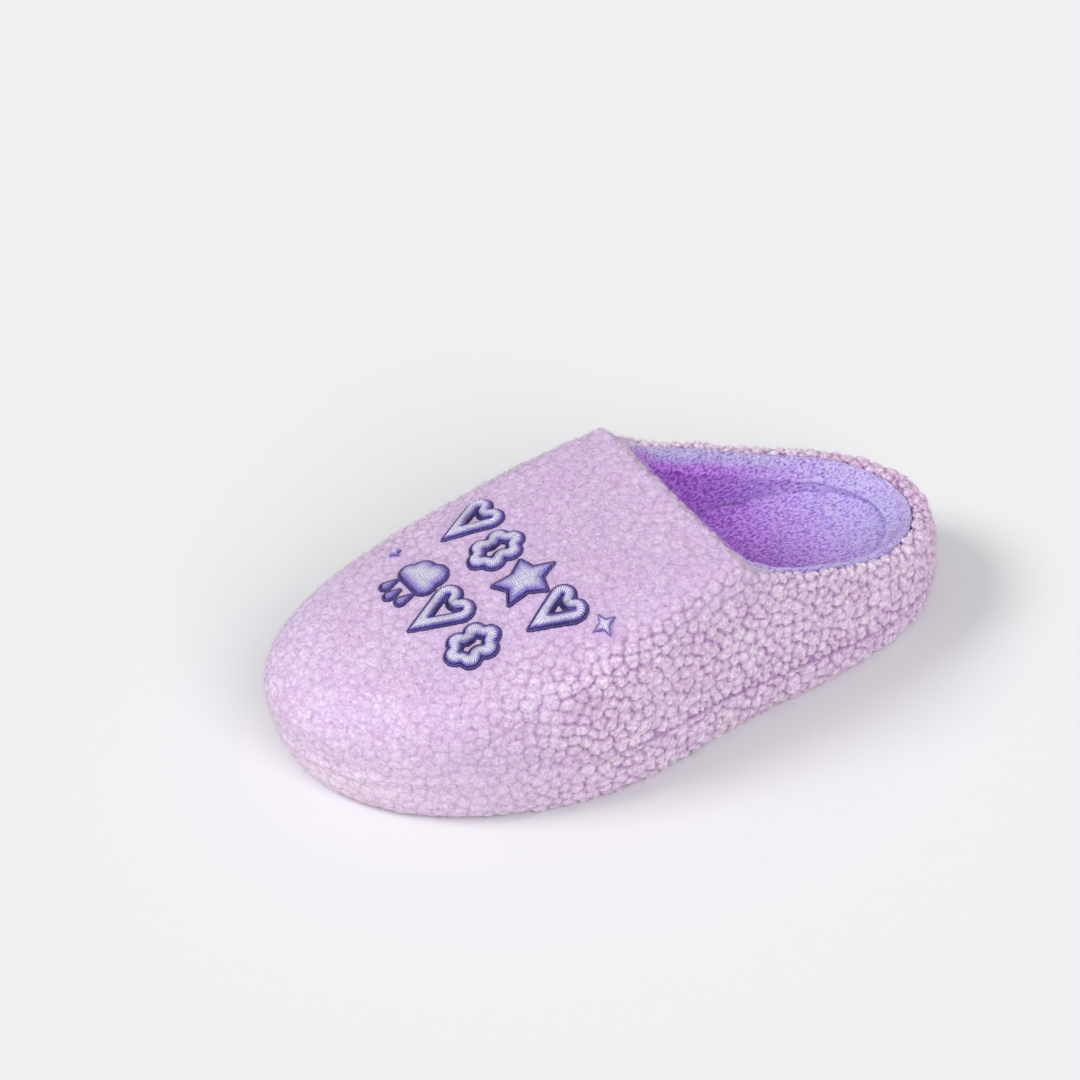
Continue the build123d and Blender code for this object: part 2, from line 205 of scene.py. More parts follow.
HEEL_ROSE = (-112 * MM, -142 * MM, 0.0, 0.5)
SPECKLE = (1050.0, 2.0, (0.6, 1.1, 1.0))    # scale, detail and stretch of the lining's tufts, with painted shade between them
SPECKLE_RANGE = (0.36, 0.61)
HUE_AND_LIGHT_SHIFT = (0.0, 1.0, -0.01, 0.06)

# ---- Threads: deep (painted shade on satin), body and crest (painted highlight) colours, roughness, and ridge spacing in mm ---
SATIN_LOOK = (SATIN_SHADE, SATIN, SATIN_HIGHLIGHT, 0.28, 0.75)
BORDER_LOOK = (INDIGO, INDIGO, INDIGO_HIGHLIGHT, 0.5, 0.8)
# Crest ranges for the painted foot shade and crest highlight; ridge range for the painted groove shade.
THREAD_FOOT_SHADE = (0.15, 0.60)
THREAD_HIGHLIGHT = (0.62, 0.96, 0.0, 0.95)
THREAD_GROOVE_SHADE = (0.05, 0.75, 0.62, 0.0)
THREAD_SHINE = 0.8
THREAD_RELIEF = 0.24 * MM
WANDER_SCALE = 260.0

# ---- Plain stock: name, colour, shade, roughness, grain in features per metre, and relief ----------
STOCK = {
    "outsole": ("sole_rubber", (0.60, 0.49, 0.68), (0.52, 0.41, 0.60), 0.6, 220, 0.1 * MM),
    "midsole": ("sole_foam", (0.80, 0.78, 0.82), (0.70, 0.68, 0.72), 0.8, 300, 0.1 * MM),
    "insole_board": ("fibre_board", (0.52, 0.42, 0.30), (0.42, 0.33, 0.23), 0.9, 500, 0.1 * MM),
    "footbed_foam": ("footbed_foam", (0.86, 0.82, 0.72), (0.76, 0.72, 0.62), 0.9, 700, 0.2 * MM),
    "upper_foam": ("padding_foam", (0.88, 0.86, 0.80), (0.80, 0.78, 0.72), 0.9, 700, 0.2 * MM),
    "heel_counter": ("counter_board", (0.66, 0.62, 0.54), (0.58, 0.54, 0.46), 0.8, 400, 0.1 * MM),
    "embroidery_stabiliser": ("stabiliser", (0.9, 0.9, 0.9), (0.8, 0.8, 0.8), 0.9, 600, 0.1 * MM),
}
SEWING = ("sewing_thread", (0.66, 0.48, 0.72), (0.54, 0.36, 0.62), 0.7, 900, 0.1 * MM)

# ---- Light: each sun as its turn from the camera, elevation and spread in degrees, and power -------
WORLD_STRENGTH = 0.44
KEY = (-76, 44, 24, 1.55)
FILL = (24, 38, 40, 1.50)
FLOOR = (0.815, 0.815, 0.83)
FLOOR_REACH = 6.0

# ---- Noise table -----------------------------------------------------------------------------------
TABLE_SIZE = 65536
TABLE_MASK = TABLE_SIZE - 1
HASH_X, HASH_Y, HASH_Z = 73856093, 19349663, 83492791


# ---- Numeric helpers -------------------------------------------------------------------------------
def smoothstep(low, high, value):
    """0 below low, 1 above high, smooth between."""
    t = np.clip((value - low) / (high - low), 0.0, 1.0)
    return t * t * (3 - 2 * t)


def lattice_noise(points, scale, seed):
    """Smooth noise from -1 to 1 at each point, with features about as large as scale."""
    table = np.random.default_rng(seed).uniform(-1, 1, TABLE_SIZE)
    place = points / scale
    cell = np.floor(place).astype(np.int64)
    t = place - cell
    t = t * t * (3 - 2 * t)
    total = np.zeros(len(points))
    for dx, dy, dz in itertools.product((0, 1), repeat=3):
        key = (cell[:, 0] + dx) * HASH_X ^ (cell[:, 1] + dy) * HASH_Y ^ (cell[:, 2] + dz) * HASH_Z
        weight = np.abs(1 - dx - t[:, 0]) * np.abs(1 - dy - t[:, 1]) * np.abs(1 - dz - t[:, 2])
        total += weight * table[key & TABLE_MASK]
    return total


def noise_vectors(points, scale, seed):
    """Three independent noises as a vector."""
    return np.stack([lattice_noise(points, scale, seed + k) for k in range(3)], axis=1)


def places(mesh):
    """Vertex positions as an array."""
    out = np.empty(len(mesh.vertices) * 3)
    mesh.vertices.foreach_get("co", out)
    return out.reshape(-1, 3)


def normals(mesh):
    """Vertex normals as an array."""
    out = np.empty(len(mesh.vertices) * 3, np.float32)
    mesh.vertex_normals.foreach_get("vector", out)
    return out.reshape(-1, 3).astype(float)


def move_to(mesh, points):
    """Writes vertex positions back."""
    mesh.vertices.foreach_set("co", points.ravel())
    mesh.update()


def above_floor(points, clearance):
    """Points with none lower than a clearance above the floor, which presses the pile up."""
    return np.stack([points[:, 0], points[:, 1], np.maximum(points[:, 2], clearance)], axis=1)


def keep_value(mesh, name, values):
    """Stores one number per vertex for the materials."""
    layer = mesh.attributes.new(name, "FLOAT", "POINT")
    layer.data.foreach_set("value", values.astype(np.float32))


def surface_of(node):
    """Search tree over a CAD node's surface."""
    mesh = NODES[node].data
    mesh.calc_loop_triangles()
    corners = [tuple(v.co) for v in mesh.vertices]
    return BVHTree.FromPolygons(corners, [tuple(t.vertices) for t in mesh.loop_triangles])


def distances(points, tree):
    """Distance from each point to a surface."""
    return np.array([tree.find_nearest(Vector(p))[3] for p in points])


def close_to(points, node):
    """Distance from each point to a CAD node."""
    return distances(points, surface_of(node))


def point_tree(points):
    """Search tree over points."""
    tree = kdtree.KDTree(len(points))
    for index, point in enumerate(points):
        tree.insert(point, index)
    tree.balance()
    return tree


# ---- Mesh helpers ----------------------------------------------------------------------------------
def new_object(name, mesh):
    """Object in the scene that holds a mesh."""
    obj = bpy.data.objects.new(name, mesh)
    bpy.context.scene.collection.objects.link(obj)
    return obj


def with_modifiers(obj, *modifiers):
    """Applies modifiers, given as (type, settings), and returns the object with its new mesh."""
    for kind, settings in modifiers:
        modifier = obj.modifiers.new(kind.lower(), kind)
        for key, value in settings.items():
            setattr(modifier, key, value)
    bpy.context.view_layer.update()
    result = bpy.data.meshes.new_from_object(obj.evaluated_get(bpy.context.evaluated_depsgraph_get()))
    obj.modifiers.clear()
    old = obj.data
    obj.data = result
    bpy.data.meshes.remove(old)
    return obj


def dense_copy(node, name, voxel, rounding):
    """Even, closed, finely divided copy of a CAD node with its sharp edges rounded."""
    obj = new_object(name, NODES[node].data.copy())
    obj.data.materials.clear()
    return with_modifiers(
        obj,
        ("REMESH", {"mode": "VOXEL", "voxel_size": voxel, "adaptivity": 0.0, "use_smooth_shade": True}),
        ("SMOOTH", {"factor": 0.5, "iterations": rounding}),
    )


def group_vertices(obj, name, chosen):
    """Named vertex group of the chosen vertices."""
    group = obj.vertex_groups.new(name=name)
    group.add([int(index) for index in np.nonzero(chosen)[0]], 1.0, "REPLACE")


def smooth_where(obj, chosen, passes):
    """Smooths only the chosen vertices."""
    group_vertices(obj, "soft", chosen)
    with_modifiers(obj, ("SMOOTH", {"factor": 0.5, "iterations": passes, "vertex_group": "soft"}))
    obj.vertex_groups.clear()


def thin_hidden_side(obj, hidden, share):
    """Collapses the hidden part of a mesh to a share of its triangles."""
    group_vertices(obj, "hidden", hidden)
    ratio = 1 - float(hidden.mean()) * (1 - share)
    with_modifiers(obj, ("DECIMATE", {"ratio": ratio, "vertex_group": "hidden", "vertex_group_factor": 1.0}))
    obj.vertex_groups.clear()


def finish_piece(obj, material, slot, *nodes):
    """Rides on the slipper, stands for its CAD nodes and takes a material."""
    obj.data.materials.clear()
    obj.data.materials.append(material)
    obj.data.polygons.foreach_set("use_smooth", [True] * len(obj.data.polygons))
    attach(obj, "root")
    if nodes:
        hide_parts(*nodes)


# ---- Tufts: the curled nodules of boucle fleece ----------------------------------------------------
def scatter(points, spacing, seed):
    """Indices of points at least about `spacing` apart."""
    tree = point_tree(points)
    random = np.random.default_rng(seed)
    free = np.ones(len(points), bool)
    chosen = []
    for index in random.permutation(len(points)):
        if not free[index]:
            continue
        chosen.append(int(index))
        reach = spacing * random.uniform(*SPACING_VARIETY)
        for _, near, _ in tree.find_range(points[index], reach):
            free[near] = False
    return chosen


def tufts(points, spacing, seed):
    """Each point's distance from the nearest crease, that crease's depth, and its tuft's random tone."""
    chosen = scatter(points, spacing, seed)
    centres = points[chosen]
    tree = point_tree(centres)
    warped = points + WARP * spacing * noise_vectors(points, spacing * 0.5, seed + 1)
    warped += FINE_WARP * spacing * noise_vectors(points, spacing * 0.2, seed + 5)
    found = [tree.find_n(place, 3) for place in warped]
    owner = np.array([[hit[1] for hit in hits] for hits in found])
    reach = np.array([[hit[2] for hit in hits] for hits in found])
    apart = np.linalg.norm(centres[owner[:, 0]] - centres[owner[:, 1]], axis=1) + 1e-9
    gap = (reach[:, 1] ** 2 - reach[:, 0] ** 2) / (2 * apart)
    table = np.random.default_rng(seed + 9).uniform(0, 1, TABLE_SIZE)
    tone = table[owner[:, 0] & TABLE_MASK]
    meeting = (owner[:, 0] + 1) * (owner[:, 1] + 1) + owner[:, 0] + owner[:, 1]
    corner = 1 - smoothstep(*CORNER_REACH, reach[:, 2] - reach[:, 0])
    depth = CREASE_SHALLOWEST + CREASE_VARIETY * table[meeting & TABLE_MASK] + CORNER_DEPTH * corner
    depth = np.minimum(depth, 1.0)
    return gap, depth, tone


def curliness(points, directions):
    """How strongly the pile is curled: brushed flat on the vamp's top and toe, nubbly elsewhere."""
    x, z = points[:, 0] / MM, points[:, 2] / MM
    level = smoothstep(*LEVEL_SLOPE, directions[:, 2] + 0.10 * lattice_noise(points, *LEVEL_NOISE))
    top = (0.5 * level + 0.5 * smoothstep(*VAMP_HEIGHTS, z)) * smoothstep(*VAMP_BACK, x)
    toe = smoothstep(*TOE_BRUSHED, x + 8 * lattice_noise(points, *TOE_NOISE))
    return 1 - BRUSHED_SHARE * np.maximum(top, toe)


def around_embroidery(points):
    """1 beside the embroidery, where its stitches hold the pile, 0 away from it."""
    near = np.full(len(points), 1.0)
    x, z = points[:, 0] / MM, points[:, 2] / MM
    start, end = EMBROIDERED
    vamp = np.nonzero((z > EMBROIDERY_FLOOR) & (x > start) & (x < end))[0]
    for node in NODES:
        if node.startswith(("satin_", "border_")):
            near[vamp] = np.minimum(near[vamp], close_to(points[vamp], node))
    return 1 - smoothstep(*HOLD_REACH, near)


def curl_fleece(obj, outer, held, seam, rim, seed):
    """Raises the tufts on the outer side of a fleece piece and stores what its colours need."""
    mesh = obj.data
    points, directions = places(mesh), normals(mesh)
    gap, depth, tone = tufts(points, TUFT_SPACING, seed)
    small_gap, small_depth, small_tone = tufts(points, CURL_SPACING, seed + 50)
    dome = 1 - (1 - np.clip(gap / DOME_REACH, 0, 1)) ** 2
    small = 1 - (1 - np.clip(small_gap / (0.5 * CURL_SPACING), 0, 1)) ** 2
    curl = curliness(points, directions) * (1 - 0.85 * held)
    broad = lattice_noise(points, BROAD_SCALE, seed + 21)
    lift = curl * TUFT_HEIGHT * ((dome - 1) * (0.55 + 0.45 * depth) + 0.40 + 0.45 * (tone - 0.5))
    lift += (0.16 + 0.30 * curl) * MM * (small - 0.6) + BROAD_SWELL * broad * (1 - held)
    lift += HELD_LIFT * held
    closing = (0.5 + 0.9 * smoothstep(*TOE_RANGE, points[:, 0] / MM)) * MM * seam
    points = points + directions * (lift * outer + closing + RIM_SWELL * rim)[:, None]
    move_to(mesh, above_floor(points, PILE_CLEARANCE))
    # Painted shade: the crease colour darkens the creases between tufts, most where three tufts meet, and
    # the seam's groove behind the toe.
    crease = (1 - smoothstep(0.1 * MM, CREASE_REACH, gap)) * depth
    small_crease_shade = 0.45 * (1 - smoothstep(0.0, SMALL_CREASE_REACH, small_gap)) * small_depth
    crease = np.maximum(crease, small_crease_shade)
    crease *= 0.12 + 0.88 * curl ** 1.4
    behind_toe = 1 - smoothstep(*TOE_RANGE, points[:, 0] / MM)
    crease = np.maximum(crease, 0.75 * behind_toe * smoothstep(0.5, 1.0, seam))
    keep_value(mesh, "crease", np.clip(crease, 0, 1))
    # Tone: each tuft's own random tone, plus painted light where the tufts stand highest.
    tops = 0.40 * tone + 0.20 * small_tone + 0.40 * dome * small
    keep_value(mesh, "tone", 0.5 + (tops - 0.5) * (0.45 + 0.55 * curl))
    keep_value(mesh, "brushed", 1 - curl)


# ---- Fuzz: short loose fibres as fine closed spikes ------------------------------------------------
def kept_value(mesh, name):
    """A stored vertex value as an array, or zeros where the mesh has none."""
    out = np.zeros(len(mesh.vertices), np.float32)
    if name in mesh.attributes:
        mesh.attributes[name].data.foreach_get("value", out)
    return out


def mesh_of_triangles(name, vertices, faces):
    """Mesh from arrays of places and triangles."""
    mesh = bpy.data.meshes.new(name)
    mesh.vertices.add(len(vertices))
    mesh.vertices.foreach_set("co", vertices.ravel())
    mesh.loops.add(faces.size)
    mesh.loops.foreach_set("vertex_index", faces.ravel().astype(np.int32))
    mesh.polygons.add(len(faces))
    mesh.polygons.foreach_set("loop_start", (3 * np.arange(len(faces))).astype(np.int32))
    mesh.update(calc_edges=True)
    return mesh


def fuzz(source, shape, wanted=None):
    """Fibres that stand on a piece; `wanted` gives each vertex's share of them."""
    length, width, lean = shape
    count, seed = FIBRE_COUNTS[source.name], FIBRE_SEEDS[source.name]
    mesh = source.data
    mesh.calc_loop_triangles()
    corners = np.empty(len(mesh.loop_triangles) * 3, np.int32)
    mesh.loop_triangles.foreach_get("vertices", corners)
    corners = corners.reshape(-1, 3)
    points, directions = places(mesh), normals(mesh)
    a, b, c = (points[corners[:, k]] for k in range(3))
    area = np.linalg.norm(np.cross(b - a, c - a), axis=1)
    if wanted is not None:
        area = area * wanted[corners].mean(axis=1)
    random = np.random.default_rng(seed)
    pick = random.choice(len(corners), count, p=area / area.sum())
    u, v = random.uniform(0, 1, (2, count))
    flip = u + v > 1
    u[flip], v[flip] = 1 - u[flip], 1 - v[flip]
    share = np.stack([1 - u - v, u, v], axis=1)[:, :, None]
    root = (points[corners[pick]] * share).sum(axis=1)
    up = (directions[corners[pick]] * share).sum(axis=1)
    up /= np.linalg.norm(up, axis=1)[:, None] + 1e-12
    along = up + lean * (random.normal(0, 1, (count, 3)) + 1.2 * noise_vectors(root, FIBRE_FLOW, seed + 3))
    along /= np.linalg.norm(along, axis=1)[:, None]
    side = np.cross(along, random.normal(0, 1, (count, 3)))
    side /= np.linalg.norm(side, axis=1)[:, None] + 1e-12
    other = np.cross(along, side)
    tip = root + along * length * random.uniform(0.45, 1.15, count)[:, None]
    foot = root - along * 0.2 * MM
    turns = [2 * math.pi * k / FIBRE_SIDES for k in range(FIBRE_SIDES)]
    ring = [foot + width / 2 * (side * math.cos(turn) + other * math.sin(turn)) for turn in turns]
    vertices = above_floor(np.stack(ring + [tip], axis=1).reshape(-1, 3), FIBRE_CLEARANCE)
    pattern = np.array([(0, 2, 1), (0, 1, 3), (1, 2, 3), (2, 0, 3)])
    corners_each = FIBRE_SIDES + 1
    faces = (pattern[None] + corners_each * np.arange(count)[:, None, None]).reshape(-1, 3)
    name = source.name + "_fuzz"
    spikes = mesh_of_triangles(name, vertices, faces)
    # Fibres take a fifth of the painted crease shade, one and a half times the tone with its painted light
    # and painted highlight, and the lining's hue with its painted light and shade.
    for key, keep in (("crease", 0.2), ("tone", 1.5), ("brushed", 1.0), ("hue_and_painted_light", 1.0)):
        values = (kept_value(mesh, key)[corners[pick]] * share[:, :, 0]).sum(axis=1)
        keep_value(spikes, key, np.repeat(keep * values, corners_each))
    return new_object(name, spikes)


# ---- Materials -------------------------------------------------------------------------------------
def new_material(name):
    """Material, its nodes, its links and its Principled shader."""
    material = bpy.data.materials.new(name)
    material.use_nodes = True
    tree = material.node_tree
    return material, tree.nodes, tree.links, tree.nodes["Principled BSDF"]


def add_node(nodes, kind, **settings):
    """Node of a kind, with its sockets and properties set by name."""
    node = nodes.new(kind)
    for key, value in settings.items():
        if key in node.inputs:
            node.inputs[key].default_value = value
        else:
            setattr(node, key, value)
    return node


def mix_colours(nodes, links, factor, first, second, blend="MIX"):
    """Mix node; each colour is a socket or a fixed colour, and so is the factor."""
    node = nodes.new("ShaderNodeMix")
    node.data_type = "RGBA"
    node.blend_type = blend
    sockets = {0: factor, 6: first, 7: second}
    for index, value in sockets.items():
        if hasattr(value, "is_output"):
            links.new(value, node.inputs[index])
        elif index == 0:
            node.inputs[0].default_value = value
        else:
            node.inputs[index].default_value = (*value, 1.0)
    return node.outputs[2]


def value_of(nodes, name):
    """Output of a stored vertex value."""
    return add_node(nodes, "ShaderNodeAttribute", attribute_name=name).outputs["Fac"]


def local_noise(nodes, links, scale, detail=2.0, stretch=None):
    """Noise over the slipper's own coordinates, scale in features per metre."""
    place = nodes.new("ShaderNodeTexCoord").outputs["Object"]
    if stretch is not None:
        mapping = add_node(nodes, "ShaderNodeMapping", Scale=stretch)
        links.new(place, mapping.inputs["Vector"])
        place = mapping.outputs["Vector"]
    noise = add_node(nodes, "ShaderNodeTexNoise", Scale=scale, Detail=detail)
    links.new(place, noise.inputs["Vector"])
    return noise.outputs["Fac"]


def add_bump(nodes, links, shader, height, distance, strength=1.0):
    """Fine relief from a height."""
    bump = add_node(nodes, "ShaderNodeBump", Distance=distance, Strength=strength)
    links.new(height, bump.inputs["Height"])
    links.new(bump.outputs["Normal"], shader.inputs["Normal"])


def remap(nodes, links, value, low, high, to_low=0.0, to_high=1.0):
    """Value mapped from one range to another, held at the ends."""
    limits = {"From Min": low, "From Max": high, "To Min": to_low, "To Max": to_high}
    node = add_node(nodes, "ShaderNodeMapRange", **limits)
    links.new(value, node.inputs["Value"])
    return node.outputs["Result"]


def axis_value(nodes, links, axis):
    """One coordinate of the slipper's own frame."""
    place = nodes.new("ShaderNodeTexCoord").outputs["Object"]
    split = nodes.new("ShaderNodeSeparateXYZ")
    links.new(place, split.inputs["Vector"])
    return split.outputs[axis]


def flecked(nodes, links, colour, scale, low, high):
    """Colour broken up by fine light and dark flecks."""
    flecks = remap(nodes, links, local_noise(nodes, links, scale, 2.0), *FLECK_NOISE, low, high)
    grey = nodes.new("ShaderNodeCombineColor")
    for channel in ("Red", "Green", "Blue"):
        links.new(flecks, grey.inputs[channel])
    return mix_colours(nodes, links, 1.0, colour, grey.outputs["Color"], "MULTIPLY")


def make_woolly(nodes, links, shader, relief_scale, relief):
    """Matt surface with a soft sheen and a fine woolly relief."""
    for name, value in WOOL.items():
        shader.inputs[name].default_value = value
    add_bump(nodes, links, shader, local_noise(nodes, links, relief_scale, 3.0), relief, WOOL_BUMP)


def lilac_fleece():
    """Outer fleece: pale lilac tufts with painted light on their tops, painted plum shade in the creases,
    painted shade on the vamp and a rosier heel.
    """
    material, nodes, links, shader = new_material("lilac_fleece")
    upward = remap(nodes, links, axis_value(nodes, links, "Z"), *FOOT_HEIGHTS)
    smooth_and_high = add_node(nodes, "ShaderNodeMath", operation="MULTIPLY")
    links.new(value_of(nodes, "brushed"), smooth_and_high.inputs[0])
    links.new(upward, smooth_and_high.inputs[1])
    colour = mix_colours(nodes, links, smooth_and_high.outputs[0], LILAC_GREY, LILAC)
    # Tone: the tufts' own random paleness, with painted light on their tops.
    tone = remap(nodes, links, value_of(nodes, "tone"), *TONE_RANGE)
    colour = mix_colours(nodes, links, tone, colour, LILAC_PALE)
    patches = remap(nodes, links, local_noise(nodes, links, PATCH_SCALE, 4.0), *PATCH_RANGE)
    colour = mix_colours(nodes, links, patches, colour, ROSE)
    behind_toe = add_node(nodes, "ShaderNodeMath", operation="MULTIPLY")
    links.new(value_of(nodes, "brushed"), behind_toe.inputs[0])
    backward = remap(nodes, links, axis_value(nodes, links, "X"), *VAMP_SHADE)
    links.new(backward, behind_toe.inputs[1])
    colour = mix_colours(nodes, links, behind_toe.outputs[0], colour, LILAC_SHADE)
    heel = remap(nodes, links, axis_value(nodes, links, "X"), *HEEL_ROSE)
    colour = mix_colours(nodes, links, heel, colour, ROSE)
    # Painted shade in the creases and in the seam's groove.
    colour = mix_colours(nodes, links, value_of(nodes, "crease"), colour, LILAC_CREASE_SHADE)
    links.new(flecked(nodes, links, colour, *LILAC_FLECKS), shader.inputs["Base Color"])
    make_woolly(nodes, links, shader, *LILAC_RELIEF)
    return material


def violet_fleece():
    """Lining fleece: deep violet under the vamp, its hue with painted shade; periwinkle at heel and rim, its
    hue with painted light; speckled with short tufts, painted shade between them.
    """
    material, nodes, links, shader = new_material("violet_fleece")
    # Real hue shift with painted light and shade: violet in shade under the vamp, periwinkle lit at heel and
    # rim.
    hue_and_painted_light = value_of(nodes, "hue_and_painted_light")
    pale = mix_colours(nodes, links, hue_and_painted_light, VIOLET, PERIWINKLE)
    deep = mix_colours(nodes, links, hue_and_painted_light, VIOLET_CREVICE_SHADE, PERIWINKLE_CREVICE_SHADE)
    # Painted shade between noise-placed tufts: low places take the crevice shade, high ones the pale tip
    # colour.
    tufts_height = add_node(nodes, "ShaderNodeMath", operation="ADD")
    links.new(local_noise(nodes, links, *SPECKLE), tufts_height.inputs[0])
    links.new(remap(nodes, links, hue_and_painted_light, *HUE_AND_LIGHT_SHIFT), tufts_height.inputs[1])
    tufts_pale = remap(nodes, links, tufts_height.outputs[0], *SPECKLE_RANGE)
    colour = mix_colours(nodes, links, tufts_pale, deep, pale)
    links.new(flecked(nodes, links, colour, *VIOLET_FLECKS), shader.inputs["Base Color"])
    make_woolly(nodes, links, shader, *VIOLET_RELIEF)
    return material


def thread_ridges(nodes, links, spacing):
    """Height of the parallel threads, which follow the stored thread coordinate in millimetres."""
    wander = remap(nodes, links, local_noise(nodes, links, WANDER_SCALE, 2.0), 0.0, 1.0, -0.5, 0.5)
    place = add_node(nodes, "ShaderNodeMath", operation="ADD")
    links.new(value_of(nodes, "thread"), place.inputs[0])
    links.new(wander, place.inputs[1])
    turns = add_node(nodes, "ShaderNodeMath", operation="MULTIPLY")
    turns.inputs[1].default_value = 2 * math.pi / spacing
    links.new(place.outputs[0], turns.inputs[0])
    wave = add_node(nodes, "ShaderNodeMath", operation="SINE")
    links.new(turns.outputs[0], wave.inputs[0])
    return remap(nodes, links, wave.outputs[0], -1.0, 1.0)


def thread_material(name, deep, body, pale, roughness, spacing):
    """Embroidery thread: deep at the stroke's foot and in the grooves between threads, which is painted
    shade on satin; a painted highlight along its crest; finely ridged and glossy.
    """
    material, nodes, links, shader = new_material(name)
    crest = value_of(nodes, "crest")
    # Painted shade at the stroke's foot and painted highlight along its crest, by the crest's height.
    colour = mix_colours(nodes, links, remap(nodes, links, crest, *THREAD_FOOT_SHADE), deep, body)
    colour = mix_colours(nodes, links, remap(nodes, links, crest, *THREAD_HIGHLIGHT), colour, pale)
    ridge = thread_ridges(nodes, links, spacing)
    # Painted shade in the grooves between threads.
    shade = remap(nodes, links, ridge, *THREAD_GROOVE_SHADE)
    colour = mix_colours(nodes, links, shade, colour, deep)
    links.new(flecked(nodes, links, colour, *THREAD_FLECKS), shader.inputs["Base Color"])
    shader.inputs["Roughness"].default_value = roughness
    shader.inputs["Specular IOR Level"].default_value = THREAD_SHINE
    add_bump(nodes, links, shader, ridge, THREAD_RELIEF, 1.0)
    return material


def plain_material(name, colour, shade, roughness, grain, relief):
    """Moulded or sheet stock with a fine grain."""
    material, nodes, links, shader = new_material(name)
    mottle = local_noise(nodes, links, grain, 4.0)
    links.new(mix_colours(nodes, links, mottle, shade, colour), shader.inputs["Base Color"])
    shader.inputs["Roughness"].default_value = roughness
    add_bump(nodes, links, shader, local_noise(nodes, links, grain * 6, 2.0), relief, 0.5)
    return material


# ---- Fleece pieces ---------------------------------------------------------------------------------
def edge_height(x):
    """Height of the opening's edge at each x behind the throat, from the CAD shell's highest places."""
    corners = places(NODES["upper_shell"].data)
    steps = np.arange(CAD_BOX[0][0], THROAT_BACK, EDGE_STEP)
    tops = [corners[np.abs(corners[:, 0] - step) < EDGE_STEP, 2].max() for step in steps]
    return np.interp(x, steps, np.maximum.accumulate(tops))


def fold_rim(obj, beside, reach, sink):
    """Draws the rim's top outward and lets its inner side sink, as the lining's fold pulls it over."""
    points = places(obj.data)
    apart = close_to(points, beside)
    x, y, z = points.T
    top = 1 - smoothstep(0, RIM_DEPTH, edge_height(x) - z)
    top *= 1 - smoothstep(*RIM_ENDS, x / MM)
    outward = np.stack([np.minimum(x - HEEL_CENTRE, 0), y, np.zeros(len(points))], axis=1)
    outward /= np.linalg.norm(outward, axis=1)[:, None] + 1e-9
    pull = reach * top * (1 - smoothstep(*FOLD_FADE, apart))
    fall = sink * top * smoothstep(*SINK_REACH, apart)
    move_to(obj.data, points + pull[:, None] * outward - fall[:, None] * np.array((0, 0, 1)))


def make_upper(material):
    """Outer fleece of the upper, up to the opening's edge, and which of its vertices face outward."""
    obj = dense_copy("upper_shell", "upper_fleece", FLEECE_VOXEL, FLEECE_ROUNDING)
    smooth_where(obj, close_to(places(obj.data), "upper_lining") < RIM_WIDTH, RIM_ROUNDING)
    fold_rim(obj, "upper_lining", RIM_FOLD, 0.0)
    thin_hidden_side(obj, close_to(places(obj.data), "upper_foam") < HIDDEN_REACH, HIDDEN_SHARE)
    points = places(obj.data)
    outer = smoothstep(*UPPER_OUTSIDE, close_to(points, "upper_foam"))
    seam = 1 - smoothstep(*SEAM_REACH, close_to(points, "foxing_band"))
    rim = 1 - smoothstep(*RIM_REACH, close_to(points, "upper_lining"))
    curl_fleece(obj, outer, around_embroidery(points), seam, rim, UPPER_SEED)
    finish_piece(obj, material, "outer_fleece", "upper_shell")
    return obj, outer


def make_band(material):
    """Fleece band round the sole unit, and which of its vertices face outward."""
    obj = dense_copy("foxing_band", "band_fleece", FLEECE_VOXEL, FLEECE_ROUNDING)
    points = places(obj.data)
    outer = smoothstep(*BAND_OUTSIDE, close_to(points, "midsole"))
    seam = 1 - smoothstep(*SEAM_REACH, close_to(points, "upper_shell"))
    nowhere = np.zeros(len(points))
    curl_fleece(obj, outer, nowhere, seam, nowhere, BAND_SEED)
    finish_piece(obj, material, "outer_fleece", "foxing_band")
    return obj, outer


def make_lining_piece(node, name, beside, rounding, material, seed):
    """Short-pile fleece inside the slipper, running softly into the piece beside it at the heel."""
    obj = dense_copy(node, name, LINING_VOXEL, rounding)
    if node == "upper_lining":
        fold_rim(obj, "upper_shell", RIM_FOLD + RIM_SEAM, RIM_SINK)
    mesh = obj.data
    points, directions = places(mesh), normals(mesh)
    x, y, z = points.T / MM
    sides = smoothstep(*RIM_SIDES, np.abs(y))
    rim = 1 - smoothstep(*LINING_RIM, close_to(points, "upper_shell"))
    rim *= smoothstep(*RIM_HEIGHTS, z) * np.maximum(1 - smoothstep(*RIM_HEEL, x), sides)
    join = (1 - smoothstep(*JOIN_REACH, close_to(points, beside))) * (1 - smoothstep(*JOIN_END, x))
    fine_size, fine_height = FINE_PILE
    broad_size, broad_height = BROAD_PILE
    lift = fine_height * lattice_noise(points, fine_size, seed)
    lift += broad_height * lattice_noise(points, broad_size, seed + 1)
    lift = lift + RIM_PILE * rim + JOIN_PILE * join
    move_to(mesh, points + directions * (lift * MM)[:, None])
    # Periwinkle with painted light towards the heel and on the rim, violet with painted shade under the
    # vamp.
    keep_value(mesh, "hue_and_painted_light", np.maximum(1 - smoothstep(*HUE_AND_LIGHT_END, x), rim))
    finish_piece(obj, material, "lining_fleece", node)
    return obj


